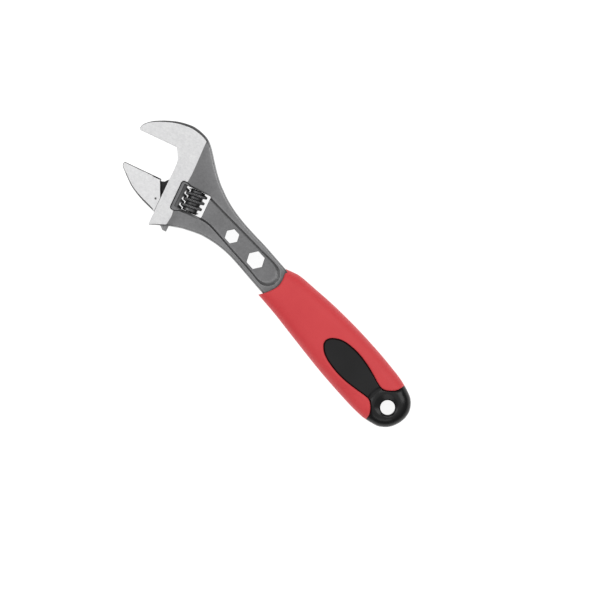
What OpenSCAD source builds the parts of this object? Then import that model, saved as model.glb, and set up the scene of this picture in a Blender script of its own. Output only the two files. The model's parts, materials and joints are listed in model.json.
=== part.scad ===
// Adjustable wrench, 250 mm class, with two hex holes in the shank and a two-part moulded grip.
// The wrench lies flat: +X runs along the handle towards the head, +Y towards the moving jaw, +Z up.
// The plan is drawn from the centre of the hanging hole, then moved so that the origin is the
// bottom centre of the whole part's box.

/* [Head] */
// Angle between the jaw faces' direction and the handle
head_angle = 22.5; // [20:0.5:25]
// Thickness of the ground head faces and the jaws
head_t = 14.5; // [14:0.1:15.5]
// Jaw opening as drawn
opening = 22.5; // [22.5:0.1:24]
// Depth of the pocket around the worm on each face
pocket_d = 1.15; // [0.8:0.05:1.3]

/* [Rail and rack] */
// Diameter of the round rail under the moving jaw
rail_d = 9.8; // [9.4:0.1:9.9]
// Running clearance of the rail in its channel, on the radius
rail_gap = 0.25; // [0.2:0.05:0.3]
// Thickness of the web between rail and jaw
web_t = 5; // [4:0.1:5.4]
// Clearance on each side of the web
web_gap = 0.25; // [0.2:0.05:0.35]
// Pitch of the rack and of the worm
pitch = 4; // [4:0.5:4]

/* [Worm] */
// Outer diameter of the worm
worm_d = 13.8; // [13:0.1:13.8]
// Root diameter of the worm
worm_root_d = 9.5; // [9:0.1:9.6]
// Length of the worm
worm_l = 14.6; // [14:0.1:14.8]
// Diameter of the pin that carries the worm
pin_d = 4; // [3.6:0.1:4.2]
// Running clearance of the worm on its pin, on the radius
pin_gap = 0.06; // [0.03:0.01:0.09]

/* [Shank] */
// Thickness over the two raised rims of the shank
shank_t = 9.8; // [9:0.1:10.4]
// Depth of the panel on each face of the shank
panel_d = 2; // [1.2:0.1:2.2]
// Smaller hex hole, across flats
hex_small = 8.2; // [8:0.1:8.4]
// Larger hex hole, across flats
hex_large = 10.2; // [10:0.1:10.4]
// Thickness of the tang inside the grip
tang_t = 6; // [5:0.5:7]

/* [Grip] */
// Greatest thickness of the grip
grip_t = 19; // [17:0.5:20]
// Wall of the soft cover
cover_wall = 2.6; // [2:0.1:3]
// Radius of the hanging hole
hang_r = 4.7; // [4:0.1:5.5]

/* [Hidden] */
$fn = 48;
ht = head_t / 2;
st = shank_t / 2;
// Inner end of the fixed jaw's face, in the plan drawn from the hanging hole
jaw_x = 207.1;
jaw_y = -14.2;
// Rail axis and worm axis, as distances behind the head's front edge
rail_u = -9.3;
worm_u = -19.4;
// Window for the worm, in the head's own directions
win_u0 = -28.1;
win_u1 = -9.8;
win_v0 = 19.2;
win_v1 = 34.2;
worm_v0 = (win_v0 + win_v1 - worm_l) / 2;
lead_angle = atan(pitch / (PI * (worm_d + worm_root_d) / 2));
// Spring pocket in the lower end of the worm
sp_r = 3.3;
sp_l = 6;
// Whole part's box, in the plan drawn from the hanging hole
box_cx = 111.99;
box_cy = 1.77;

// A point given by its distances along the jaw face (u) and across it (v)
function H(p) = [jaw_x + p[0] * cos(head_angle) - p[1] * sin(head_angle),
                 jaw_y + p[0] * sin(head_angle) + p[1] * cos(head_angle)];
function HH(l) = [for (p = l) H(p)];

// Smooth curve through a list of points, n steps to each span
function cr(a, b, c, d, t) = 0.5 * ((2 * b) + (c - a) * t + (2 * a - 5 * b + 4 * c - d) * t * t + (3 * b - a - 3 * c + d) * t * t * t);
function smooth(l, n = 3) = [for (i = [0 : len(l) - 2]) for (k = [0 : n - 1])
    cr(l[max(i - 1, 0)], l[i], l[i + 1], l[min(i + 2, len(l) - 1)], k / n), l[len(l) - 1]];

// Outline of head and shank
low_edge = concat([[100, -11], [108, -11.2], [118, -11.4], [128, -11.6], [138, -11.4], [148, -11.5], [158, -12.4], [166, -14], [171, -15.55]],
    HH([[-30, 9.2], [-25, 3.7], [-20.3, -2.25], [-15.3, -8.65], [-11.2, -12.55], [-6.2, -14.9], [0, -16.3], [4.9, -16.1], [8.4, -15.55], [11.8, -14.72],
    [14.7, -13.68], [18.1, -12.32], [21.5, -10.68], [24.95, -8.7], [27.35, -6.9], [29.35, -4.95], [30.33, -3.5]]));
tip_edge = HH([[30.85, -2.3], [30.85, -0.4], [30.45, 0], [4.8, 0]]);
inner_edge = HH([[3.6, 2], [2.3, 4.2], [1.15, 6.35], [0.5, 8.6], [0.3, 11]]);
top_edge = concat(HH([[0.3, 52], [-3.5, 50.4], [-6.4, 49.5], [-9.7, 48.25], [-13.5, 47], [-16.5, 46.2], [-20, 45.4], [-25, 44.6], [-30, 44.1]]),
    [[159, 13.5], [152, 11.4], [145, 10], [138, 9.35], [130, 9.35], [118, 9.7], [108, 9.85], [100, 9.7]]);
outline = concat(smooth(low_edge), tip_edge, inner_edge, smooth(top_edge, 2));

// Panel in the shank, open towards the worm's window
panel_low = [[108, -6.2], [110.5, -8], [114, -8.6], [120, -8.5], [128, -8.2], [136, -7.9], [145, -7.6], [155, -7.2], [165, -6.9], [175, -6.7]];
panel_top = [[175, 8.4], [169, 8], [163, 6.4], [158, 6], [150, 6.1], [140, 6.3], [130, 6.4], [120, 6.7], [114, 7], [110.5, 6.3], [108, 4.6], [106.2, 1.4], [106, -2], [106.6, -4.4]];

// Outlines of the moving jaw's full-thickness part, of its web and of the slot that the web runs in
jaw_v = opening + 0.7;
jaw_plan = concat([[5.5, -0.7], [30.2, -0.7], [30.75, -0.3], [31, 0.7], [30.9, 1.7], [30.4, 2.8]],
    smooth([[27.85, 5.1], [25.4, 7.3], [20.3, 11.45], [15.25, 14.3], [10.2, 16.6], [5.15, 18.4], [0.6, 19.95]], 2), [[0.6, 10.5], [5.2, 0.9]]);
web_plan = [[rail_u, -5], [-4.2, -5], [0.6, -2.5], [1, -2.1], [1.8, -1.2], [2.5, -0.2], [4, 0.4], [6, 0.6], [9, 6], [9, 16], [0.8, 19.8], [rail_u, 28.2]];
slot_plan = [[rail_u, -6.2], [-3.8, -5.6], [1, -3], [1.7, -2.4], [2.4, -1.5], [3.1, -0.5], [3.7, 0.05], [12, 0.05], [12, 64], [rail_u, 64]];
tooth_v0 = 17.6 - 23.2;

// Half widths and half thickness of the grip along its length
function g_hi(x) = lookup(x, [[-12.5, -2], [-12.3, 1.5], [-11.2, 5.2], [-9, 8.8], [-6.5, 11.2], [-4, 12.8], [0, 14.2], [3, 15], [8, 16.2], [20, 16.6], [45, 16.2], [70, 14.6], [90, 13.1], [100, 12.7], [108, 12.4]]);
function g_lo(x) = lookup(x, [[-12.5, -3], [-12.3, -4.8], [-11.2, -8.6], [-9, -11.8], [-6.5, -14], [-4, -15.4], [0, -16.6], [3, -17.2], [8, -18.2], [15, -18.8], [30, -19.5], [50, -19.4], [70, -18.4], [85, -16.8], [98, -15.3], [104, -13.2], [108, -11.4]]);
function g_t(x) = lookup(x, [[-12.5, 3.6], [-12.3, 4.2], [-11.2, 5.2], [-9, 6.2], [-6.5, 6.8], [-4, 7.1], [3, 7.4], [15, 8.3], [35, grip_t / 2], [55, grip_t / 2], [80, grip_t / 2 - 0.5], [98, 8.2], [108, 7.4]]);
grip_x = [-12.5, -12.3, -11.2, -9, -6.5, -4, 0, 3, 8, 15, 22, 30, 38, 46, 54, 62, 70, 78, 85, 92, 98, 104, 108];

// Ring of a rounded-rectangle section, drawn in by d
function spow(a, e) = sign(a) * pow(abs(a), e);
function ring(x, d, n = 24) = let (h = g_hi(x) - d, l = g_lo(x) + d, t = g_t(x) - d)
    [for (i = [0 : n - 1]) let (a = 360 * i / n) [x, (h + l) / 2 + (h - l) / 2 * spow(cos(a), 0.72), t * spow(sin(a), 0.82)]];

// Solid skin over rings of equal length
module loft(rings) {
    n = len(rings[0]);
    m = len(rings);
    polyhedron(points = [for (r = rings) each r],
        faces = concat([[for (i = [0 : n - 1]) i]],
            [for (j = [0 : m - 2]) for (i = [0 : n - 1]) each [
                [j * n + i, (j + 1) * n + i, j * n + (i + 1) % n],
                [j * n + (i + 1) % n, (j + 1) * n + i, (j + 1) * n + (i + 1) % n]]],
            [[for (i = [n - 1 : -1 : 0]) (m - 1) * n + i]]));
}

// Black area of the grip: its end and the teardrop on both faces
black_low = [[3, -16], [4, -12.4], [6, -9.3], [9, -6.6], [12, -5.5], [16, -6], [22, -7.5], [30, -9], [38, -9.6], [45, -9], [50, -7.8], [54, -5.6], [57, -2.6], [58, 0.3]];
black_top = [[57, 3], [54, 5.6], [50, 7.4], [45, 8.4], [38, 8.9], [30, 8.4], [22, 7], [16, 5.7], [12, 5.4], [9, 7], [6, 10], [4.4, 12.8], [3.6, 15]];
black_area = concat([[-30, -30], [3, -30]], smooth(black_low, 2), black_top, [[3.6, 30], [-30, 30]]);
front_cut = [[108, -11.6], [106, -8], [104, -4], [103.3, 0], [104.2, 4], [105.5, 8], [107.9, 12.9], [125, 12.9], [125, -11.6]];

// Places children in the head's own directions, with the whole part's origin
module placed() { translate([-box_cx, -box_cy, grip_t / 2]) children(); }
module in_head() { translate([jaw_x, jaw_y, 0]) rotate(head_angle) children(); }
module rod(u, v0, v1, r, fn = 64) { translate([u, v0, 0]) rotate([-90, 0, 0]) cylinder(h = v1 - v0, r = r, $fn = fn); }
module slab(pts, t) { linear_extrude(height = t, center = true) polygon(pts); }

// Tang that the grip is moulded over, with an eye around the hanging hole
tang_plan = concat([[112, 8.4], [60, 8], [30, 7.6], [14, 8.4]],
    [for (a = [52 : 16 : 308]) [9.8 * cos(a), 9.8 * sin(a)]], [[14, -9], [30, -9], [60, -9.6], [112, -9.6]]);

module body() {
    color([0.45, 0.45, 0.46]) placed() difference() {
        union() {
            intersection() {
                slab(outline, head_t);
                // Thick at the ground faces, falling to the thickness of the shank
                in_head() translate([0, 60, 0]) rotate([90, 0, 0]) linear_extrude(height = 200)
                    polygon([[60, ht], [-11, ht], [-46, st], [-160, st], [-160, -st], [-46, -st], [-11, -ht], [60, -ht]]);
            }
            slab(tang_plan, tang_t);
        }
        // Panels in the shank
        for (s = [-1, 1]) translate([0, 0, s * (st - panel_d + 10)]) slab(concat(smooth(panel_low, 2), smooth(panel_top, 2)), 20);
        // Hex holes, corners along the handle
        translate([146.4, -0.1, 0]) cylinder(h = 40, d = hex_small / cos(30), center = true, $fn = 6);
        translate([125.2, -1, 0]) cylinder(h = 40, d = hex_large / cos(30), center = true, $fn = 6);
        // Eye for the hanging hole
        cylinder(h = 40, r = hang_r + 1.8, center = true, $fn = 64);
        in_head() {
            // Pocket around the worm on both faces
            for (s = [-1, 1]) translate([0, 0, s * (ht - pocket_d + 10)]) slab([[-40, 18.3], [-14, 18.3], [-11, 17.5], [-9.6, 17.3],
                [-8, 17.9], [-7.3, 19.6], [-7.3, 35], [-8, 36.7], [-9.6, 37.3], [-11, 36.9], [-14, 36], [-40, 35.6]], 20);
            // Window
            translate([win_u0, win_v0, -20]) cube([win_u1 - win_u0, win_v1 - win_v0, 40]);
            // Channel for the rail, closed at the fixed jaw, and the slot for the web
            rod(rail_u, -6.2, 60, rail_d / 2 + rail_gap);
            slab(slot_plan, web_t + 2 * web_gap);
            // Bore for the worm's pin, with a seat for its head
            rod(worm_u, 11.5, 60, pin_d / 2 + pin_gap);
            rod(worm_u, 41.6, 60, 3.2);
        }
    }
}

module sliding_jaw() {
    color([0.78, 0.78, 0.79]) placed() in_head() difference() {
        translate([0, jaw_v, 0]) union() {
            slab(jaw_plan, head_t - 0.04);
            slab(web_plan, web_t);
            difference() {
                rod(rail_u, -5.2, 28.2, rail_d / 2);
                // End of the rail, cut in line with the back of the jaw
                translate([0, 0, -10]) linear_extrude(height = 20) polygon([[rail_u + 0.1, 28.2], [0.8, 19.8], [4, 40], [rail_u + 0.1, 40]]);
                // Rack: gaps at the worm's lead angle, with the backlash on one flank
                for (k = [-1 : 7]) translate([-14.6, tooth_v0 + 2 + k * pitch, 0]) rotate([lead_angle, 0, 0])
                    linear_extrude(height = 16, center = true) polygon([[-1, -1.65], [0, -1.55], [3, -0.92], [3, 1.25], [0, 1.9], [-1, 2]]);
                // Past the last tooth the rail is cut down to the rack's root
                translate([-30, 24.1, -10]) cube([18.5, 20, 20]);
            }
        }
        // Hardness-test dimple
        for (s = [-1, 1]) translate([3, 35.3, s * (ht + 0.25)]) sphere(r = 0.8, $fn = 24);
    }
}

// Thread of the worm: rings of a trapezoid along a right-handed helix about +Z
module thread(r0, r1, p, l0, l1, steps = 28, w0 = 1.22, w1 = 0.66) {
    a0 = 360 * l0 / p;
    n = ceil((l1 - l0) / p * steps);
    loft([for (i = [0 : n]) let (z = l0 + (l1 - l0) * i / n, a = a0 + 360 * (l1 - l0) * i / n / p)
        [for (q = [[r0, -w0 - 0.12], [r0, w0 + 0.12], [r1, w1], [r1, -w1]]) [q[0] * cos(a), q[0] * sin(a), z + q[1]]]]);
}

module worm() {
    // Front crest at 22.45 from the fixed jaw's face
    color([0.16, 0.16, 0.17]) placed() in_head() difference() {
        union() {
            rod(worm_u, worm_v0, worm_v0 + worm_l, worm_root_d / 2);
            intersection() {
                translate([worm_u, 22.45, 0]) rotate([-90, 0, 0]) rotate(-90)
                    thread(worm_root_d / 2 - 0.4, worm_d / 2, pitch, -6, 15);
                rod(worm_u, worm_v0, worm_v0 + worm_l, worm_d / 2 + 1);
            }
        }
        rod(worm_u, 0, 60, pin_d / 2 + pin_gap);
        rod(worm_u, 0, worm_v0 + sp_l, sp_r);
    }
}

module worm_pin() {
    color([0.55, 0.55, 0.57]) placed() in_head() difference() {
        union() {
            rod(worm_u, 12, 42, pin_d / 2);
            rod(worm_u, 41.7, 44, 3.1);
        }
        // Screwdriver slot
        translate([worm_u - 5, 43, -0.5]) cube([10, 3, 1]);
    }
}

module worm_spring() {
    // Compression spring of round wire between the window's lower wall and the worm
    wire = 0.3;
    coil_r = 2.72;
    turns = 4.5;
    n = turns * 16;
    l = worm_v0 + sp_l - win_v0 - 2 * wire - 0.16;
    color([0.7, 0.7, 0.7]) placed() in_head() translate([worm_u, win_v0 + wire + 0.08, 0]) rotate([-90, 0, 0])
        loft([for (i = [0 : n]) let (a = 360 * turns * i / n, f = i / n, s = f < 0.2 ? 0.14 * f / 0.2 : f > 0.8 ? 1 - 0.14 * (1 - f) / 0.2 : 0.14 + 0.72 * (f - 0.2) / 0.6)
            [for (k = [0 : 7]) let (b = -45 * k) [(coil_r + wire * cos(b)) * cos(a), (coil_r + wire * cos(b)) * sin(a), l * s + wire * sin(b)]]]);
}

module grip_core() {
    color([0.08, 0.08, 0.08]) placed() difference() {
        union() {
            loft([for (x = [8, 15, 22, 30, 38, 46, 54, 62, 70, 78, 85, 92, 98, 101]) ring(x, cover_wall)]);
            intersection() {
                loft([for (x = grip_x) if (x < 66) ring(x, 0)]);
                slab(black_area, 40);
            }
        }
        slab(tang_plan, tang_t);
        slab(outline, shank_t);
        // Hanging hole with a wide dished mouth on both faces
        cylinder(h = 40, r = hang_r, center = true, $fn = 64);
        for (s = [0, 1]) mirror([0, 0, s]) translate([0, 0, 5.3]) cylinder(h = 3, r1 = hang_r, r2 = hang_r + 7.2, $fn = 64);
    }
}

module grip_cover() {
    color([0.75, 0.14, 0.15]) placed() difference() {
        loft([for (x = grip_x) if (x > 1) ring(x, 0)]);
        loft([for (x = [2, 8, 15, 22, 30, 38, 46, 54, 62, 70, 78, 85, 92, 98, 101]) ring(x, cover_wall)]);
        slab(black_area, 40);
        slab(front_cut, 40);
        slab(outline, shank_t);
        slab(tang_plan, tang_t);
    }
}

body();
sliding_jaw();
worm();
worm_pin();
worm_spring();
grip_core();
grip_cover();
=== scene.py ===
"""Looks of the adjustable wrench: forged body, moving jaw, worm, pin, spring and moulded grip.

Everything is drawn in millimetres in the tool's own plan (x, y from the hanging hole's centre, z from
the middle plane) and placed in the shared frame by the record's hanging-hole mount and slide axis.
"""

import json
import math

import bmesh
import bpy
import numpy as np
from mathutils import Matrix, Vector
from mathutils.geometry import delaunay_2d_cdt


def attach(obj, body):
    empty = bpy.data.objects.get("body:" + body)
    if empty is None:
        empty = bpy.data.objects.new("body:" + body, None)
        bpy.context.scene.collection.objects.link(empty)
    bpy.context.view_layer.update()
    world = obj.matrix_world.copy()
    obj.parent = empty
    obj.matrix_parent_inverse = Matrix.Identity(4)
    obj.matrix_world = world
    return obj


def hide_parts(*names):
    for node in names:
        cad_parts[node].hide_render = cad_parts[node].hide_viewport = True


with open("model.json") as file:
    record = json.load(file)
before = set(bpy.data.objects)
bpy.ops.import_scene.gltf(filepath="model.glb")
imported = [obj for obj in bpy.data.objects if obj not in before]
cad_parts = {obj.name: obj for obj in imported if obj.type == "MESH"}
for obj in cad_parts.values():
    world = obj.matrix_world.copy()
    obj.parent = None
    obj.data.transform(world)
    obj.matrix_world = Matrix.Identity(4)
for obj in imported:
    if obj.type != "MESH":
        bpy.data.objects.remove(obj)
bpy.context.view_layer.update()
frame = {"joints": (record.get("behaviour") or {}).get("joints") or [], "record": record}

record = frame["record"]
hang = [m for m in record["mounts"] if m["name"] == "hang_hole"][0]["pos_m"]
slide = [j for j in frame["joints"] if j["name"] == "jaw_slide"][0]
ORIGIN = np.array(hang) * 1000.0
SV = np.array(slide["axis"][:2])
SV /= np.linalg.norm(SV)
JU = np.array([SV[1], -SV[0]])
JAW0 = np.array([207.1, -14.2])
RNG = np.random.default_rng(7)

HT, ST = 7.25, 4.9
OPEN = 23.2  # the moving jaw is drawn from this line, and its face stands 0.7 below it
PITCH = 4.0
RAIL_U, RAIL_R = -9.3, 4.9
WORM_U = -19.4


# ---------------------------------------------------------------- plan helpers
def H(pts):
    """Head coordinates (u, v, extras) to plan coordinates."""
    p = np.atleast_2d(np.array(pts, float))
    xy = JAW0 + p[:, :1] * JU + p[:, 1:2] * SV
    return np.hstack([xy, p[:, 2:]])


def to_head(xy):
    d = xy - JAW0
    return d @ JU, d @ SV


def spline(ctrl, step=0.55, closed=False):
    """Catmull-Rom curve through rows of (x, y, extras), points about step apart."""
    c = np.array(ctrl, float)
    n = len(c)
    out = []
    spans = n if closed else n - 1
    for i in range(spans):
        if closed:
            a, b, d, e = c[(i - 1) % n], c[i], c[(i + 1) % n], c[(i + 2) % n]
        else:
            a, b, d, e = c[max(i - 1, 0)], c[i], c[i + 1], c[min(i + 2, n - 1)]
        k = max(1, int(math.ceil(np.linalg.norm(d[:2] - b[:2]) / step)))
        t = (np.arange(k) / k)[:, None]
        q = 0.5 * (2 * b + (d - a) * t + (2 * a - 5 * b + 4 * d - e) * t**2 + (3 * b - a - 3 * d + e) * t**3)
        lin = b + (d - b) * t
        q[:, 2:] = lin[:, 2:]
        out.append(q)
    if not closed:
        out.append(c[-1:])
    return np.vstack(out)


def straight(ctrl, step=0.7, closed=False):
    """Straight runs through the rows, points about step apart, corners kept."""
    c = np.array(ctrl, float)
    if closed:
        c = np.vstack([c, c[:1]])
    out = []
    for i in range(len(c) - 1):
        k = max(1, int(math.ceil(np.linalg.norm(c[i + 1][:2] - c[i][:2]) / step)))
        t = (np.arange(k) / k)[:, None]
        out.append(c[i] + (c[i + 1] - c[i]) * t)
    if not closed:
        out.append(c[-1:])
    return np.vstack(out)


def join(*runs):
    """Runs end to end, with doubled points dropped."""
    out = [np.array(runs[0], float)]
    for r in runs[1:]:
        r = np.array(r, float)
        if np.linalg.norm(out[-1][-1][:2] - r[0][:2]) < 1e-3:
            r = r[1:]
        out.append(r)
    p = np.vstack(out)
    if np.linalg.norm(p[0][:2] - p[-1][:2]) < 1e-3:
        p = p[:-1]
    return p


def area(loop):
    x, y = loop[:, 0], loop[:, 1]
    return 0.5 * np.sum(x * np.roll(y, -1) - np.roll(x, -1) * y)


def ccw(loop):
    return loop if area(loop) > 0 else loop[::-1].copy()


def normals(loop):
    """Unit normals pointing to the left of travel, averaged at each point."""
    d = np.roll(loop, -1, 0)[:, :2] - loop[:, :2]
    d /= np.maximum(np.linalg.norm(d, axis=1, keepdims=True), 1e-9)
    n = np.stack([-d[:, 1], d[:, 0]], 1)
    m = n + np.roll(n, 1, 0)
    ln = np.linalg.norm(m, axis=1, keepdims=True)
    m /= np.maximum(ln, 1e-6)
    cosv = np.clip(np.sum(m * n, 1, keepdims=True), 0.5, 1)
    return m / cosv


def dist(P, L, closed=True):
    """Distance from points to a polyline, with its extra columns read at the nearest point."""
    P = np.asarray(P, float)[:, :2]
    A = L if closed else L[:-1]
    B = np.roll(L, -1, 0) if closed else L[1:]
    a, ab = A[:, :2], B[:, :2] - A[:, :2]
    l2 = np.maximum((ab**2).sum(1), 1e-12)
    D = np.empty(len(P))
    E = np.empty((len(P), L.shape[1] - 2))
    S = np.empty(len(P))
    for s in range(0, len(P), 4000):
        p = P[s : s + 4000]
        ap = p[:, None, :] - a[None]
        t = np.clip((ap * ab[None]).sum(2) / l2[None], 0, 1)
        r = ap - t[..., None] * ab[None]
        q = (r**2).sum(2)
        j = q.argmin(1)
        i = np.arange(len(p))
        D[s : s + 4000] = np.sqrt(q[i, j])
        tt = t[i, j][:, None]
        S[s : s + 4000] = j + tt[:, 0]
        if L.shape[1] > 2:
            E[s : s + 4000] = A[j, 2:] * (1 - tt) + B[j, 2:] * tt
    return D, E, S


def inside(P, L):
    x, y = P[:, 0], P[:, 1]
    r = np.zeros(len(P), bool)
    a = L[:, :2]
    b = np.roll(L, -1, 0)[:, :2]
    for (x1, y1), (x2, y2) in zip(a, b):
        if y1 == y2:
            continue
        c = (y1 > y) != (y2 > y)
        r ^= c & (x < (x2 - x1) * (y - y1) / (y2 - y1) + x1)
    return r


def sdist(P, L):
    """Distance, positive inside a closed loop."""
    d, e, s = dist(P, L)
    return np.where(inside(P, L), d, -d), e, s


def smooth01(t):
    t = np.clip(t, 0, 1)
    return t * t * (3 - 2 * t)


def rings(loop, offsets, side=1.0, tol=0.06, per_point=None):
    """Points at set distances from a loop, on its left (side 1), dropped where another part of the loop is nearer."""
    n = normals(loop) * side
    out = []
    for k, o in enumerate(offsets):
        d = per_point[k] if per_point is not None else np.full(len(loop), o)
        p = loop[:, :2] + n * d[:, None]
        real, _, _ = dist(p, loop)
        ok = np.abs(real - d) < tol * d + 0.01
        out.append(p[ok])
    return np.vstack(out) if out else np.empty((0, 2))


def offset_runs(loop, frac, least=0.25):
    """The line at a share of the edge radius inside a loop, as open runs, where the radius is above least."""
    d = loop[:, 3] * frac
    p = loop[:, :2] + normals(loop) * d[:, None]
    real, _, _ = dist(p, loop)
    ok = (np.abs(real - d) < 0.05 * d + 0.01) & (loop[:, 3] > least)
    if ok.all():
        return [np.vstack([p, p[:1]])]
    k = int(np.argmin(ok))
    ok, p = np.roll(ok, -k), np.roll(p, -k, 0)
    runs, cur = [], []
    for q, o in zip(p, ok):
        if o:
            cur.append(q)
        elif cur:
            runs.append(np.array(cur))
            cur = []
    if cur:
        runs.append(np.array(cur))
    return [r for r in runs if len(r) > 2]


# ---------------------------------------------------------------- mesh helpers
def add_mesh(name, verts_mm, faces, mats, mat_ids=None, sharp=32.0, merge=0.0):
    v = (np.asarray(verts_mm, float) + ORIGIN) * 0.001
    me = bpy.data.meshes.new(name)
    me.from_pydata(v.tolist(), [], [list(map(int, f)) for f in faces])
    for m in mats:
        me.materials.append(m)
    if mat_ids is not None:
        me.polygons.foreach_set("material_index", np.asarray(mat_ids, np.int32))
    bm = bmesh.new()
    bm.from_mesh(me)
    if merge:
        bmesh.ops.remove_doubles(bm, verts=bm.verts, dist=merge * 0.001)
    bmesh.ops.dissolve_degenerate(bm, edges=bm.edges, dist=1e-7)
    bmesh.ops.recalc_face_normals(bm, faces=bm.faces)
    bm.to_mesh(me)
    bm.free()
    ob = bpy.data.objects.new(name, me)
    bpy.context.scene.collection.objects.link(ob)
    finish_shading(ob, sharp)
    return ob


def finish_shading(ob, sharp=32.0):
    me = ob.data
    bm = bmesh.new()
    bm.from_mesh(me)
    lim = math.radians(sharp)
    for f in bm.faces:
        f.smooth = True
    for e in bm.edges:
        e.smooth = len(e.link_faces) == 2 and e.calc_face_angle(0.0) < lim
    bm.to_mesh(me)
    bm.free()
    me.update()


def boolean(ob, cutter, op="DIFFERENCE", keep=False, solver="EXACT"):
    m = ob.modifiers.new("b", "BOOLEAN")
    m.operation = op
    m.solver = solver
    m.object = cutter
    dg = bpy.context.evaluated_depsgraph_get()
    dg.update()
    new = bpy.data.meshes.new_from_object(ob.evaluated_get(dg), preserve_all_data_layers=True, depsgraph=dg)
    ob.modifiers.clear()
    old = ob.data
    ob.data = new
    bpy.data.meshes.remove(old)
    if not keep:
        cm = cutter.data
        bpy.data.objects.remove(cutter)
        bpy.data.meshes.remove(cm)
    return ob


def relief(name, outer, holes, feats, points, zfun, mats, matfun, lift=None, sharp=32.0, grid=1.0, clear=None):
    """A flat forging as two mirrored height fields over one conforming triangulation.

    outer and holes are (loop, parting loop) pairs: the loop bounds the field, and the parting loop is
    where the wall stands at the middle plane. zfun gives the half height, 0 where the two faces meet.
    """
    P = [outer[0][:, :2]] + [h[0][:, :2] for h in holes]
    V, E = [], []
    base = 0
    for lp in P:
        n = len(lp)
        V.append(lp)
        E += [(base + i, base + (i + 1) % n) for i in range(n)]
        base += n
    for f, closed in feats:
        n = len(f)
        V.append(f[:, :2])
        E += [(base + i, base + i + 1) for i in range(n - 1)]
        if closed:
            E.append((base + n - 1, base))
        base += n
    lo, hi = outer[0][:, :2].min(0), outer[0][:, :2].max(0)
    gx = np.arange(lo[0], hi[0] + grid, grid)
    gy = np.arange(lo[1], hi[1] + grid, grid * 0.866)
    G = np.array([(x + (grid / 2 if j % 2 else 0), y) for j, y in enumerate(gy) for x in gx])
    if len(points):
        V.append(points)
        base += len(points)
    fixed = np.vstack(V)
    # Grid points keep clear of everything already placed
    cell = grid * 0.55 if clear is None else clear
    keys = {}
    for x, y in fixed:
        keys.setdefault((int(math.floor(x / cell)), int(math.floor(y / cell))), []).append((x, y))
    keep = []
    for x, y in G:
        i, j = int(math.floor(x / cell)), int(math.floor(y / cell))
        near = False
        for di in (-1, 0, 1):
            for dj in (-1, 0, 1):
                for q in keys.get((i + di, j + dj), ()):
                    if (q[0] - x) ** 2 + (q[1] - y) ** 2 < cell * cell:
                        near = True
                        break
                if near:
                    break
            if near:
                break
        if not near:
            keep.append((x, y))
    G = np.array(keep) if keep else np.empty((0, 2))
    if len(G):
        ok = inside(G, outer[0])
        for h in holes:
            ok &= ~inside(G, h[0])
        G = G[ok]
    A = np.vstack([fixed, G])
    rv, re, rf, *_ = delaunay_2d_cdt([Vector(p) for p in A.tolist()], E, [], 0, 1e-5, False)
    rv = np.array([tuple(v) for v in rv], float)
    rf = np.array([f for f in rf if len(f) == 3], int)
    cen = rv[rf].mean(1)
    ok = inside(cen, outer[0])
    for h in holes:
        ok &= ~inside(cen, h[0])
    rf = rf[ok]
    a, b, c = rv[rf[:, 0]], rv[rf[:, 1]], rv[rf[:, 2]]
    ar = (b[:, 0] - a[:, 0]) * (c[:, 1] - a[:, 1]) - (b[:, 1] - a[:, 1]) * (c[:, 0] - a[:, 0])
    rf[ar < 0] = rf[ar < 0][:, ::-1]
    used = np.unique(rf)
    remap = -np.ones(len(rv), int)
    remap[used] = np.arange(len(used))
    rv, rf = rv[used], remap[rf]
    z = zfun(rv)
    n = len(rv)
    top = np.column_stack([rv, z])
    bot = np.column_stack([rv, -z])
    if lift is not None:
        top[:, 2] += lift(rv)
        bot[:, 2] += lift(rv)
    # Boundary edges, in the direction the faces use them
    ed = np.vstack([rf[:, [0, 1]], rf[:, [1, 2]], rf[:, [2, 0]]])
    key = set(map(tuple, ed.tolist()))
    be = [(i, j) for i, j in key if (j, i) not in key]
    bverts = sorted({i for e in be for i in e})
    bp = rv[bverts]
    mid = np.zeros((len(bverts), 3))
    best = np.full(len(bverts), 1e9)
    for lp, part in [outer] + list(holes):
        d, _, s = dist(bp, lp)
        i0 = np.floor(s).astype(int) % len(lp)
        fr = (s - np.floor(s))[:, None]
        q = part[i0, :2] * (1 - fr) + part[(i0 + 1) % len(lp), :2] * fr
        ok = d < best
        mid[ok, :2] = q[ok]
        best[ok] = d[ok]
    if lift is not None:
        mid[:, 2] += lift(mid[:, :2])
    flat = np.abs(z[bverts]) < 1e-4
    idx = {v: k for k, v in enumerate(bverts)}
    verts = np.vstack([top, bot, mid])
    faces = [tuple(f) for f in rf] + [(f[0] + n, f[2] + n, f[1] + n) for f in rf]
    for i, j in be:
        a, b = idx[i], idx[j]
        if flat[a] and flat[b]:
            continue
        ma, mb = 2 * n + a, 2 * n + b
        faces.append((j, i, ma, mb))
        faces.append((mb, ma, i + n, j + n))
    # Where the field reaches the middle plane, the three copies of a point are one
    for v, k in idx.items():
        if flat[k]:
            verts[2 * n + k] = verts[v]
            verts[v + n] = verts[v]
    fc = np.array([verts[list(f)].mean(0) for f in faces])
    wall = np.zeros(len(faces), bool)
    wall[2 * len(rf) :] = True
    ids = matfun(fc, wall)
    ob = add_mesh(name, verts, faces, mats, ids, sharp, merge=2e-4)
    return ob


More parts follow.
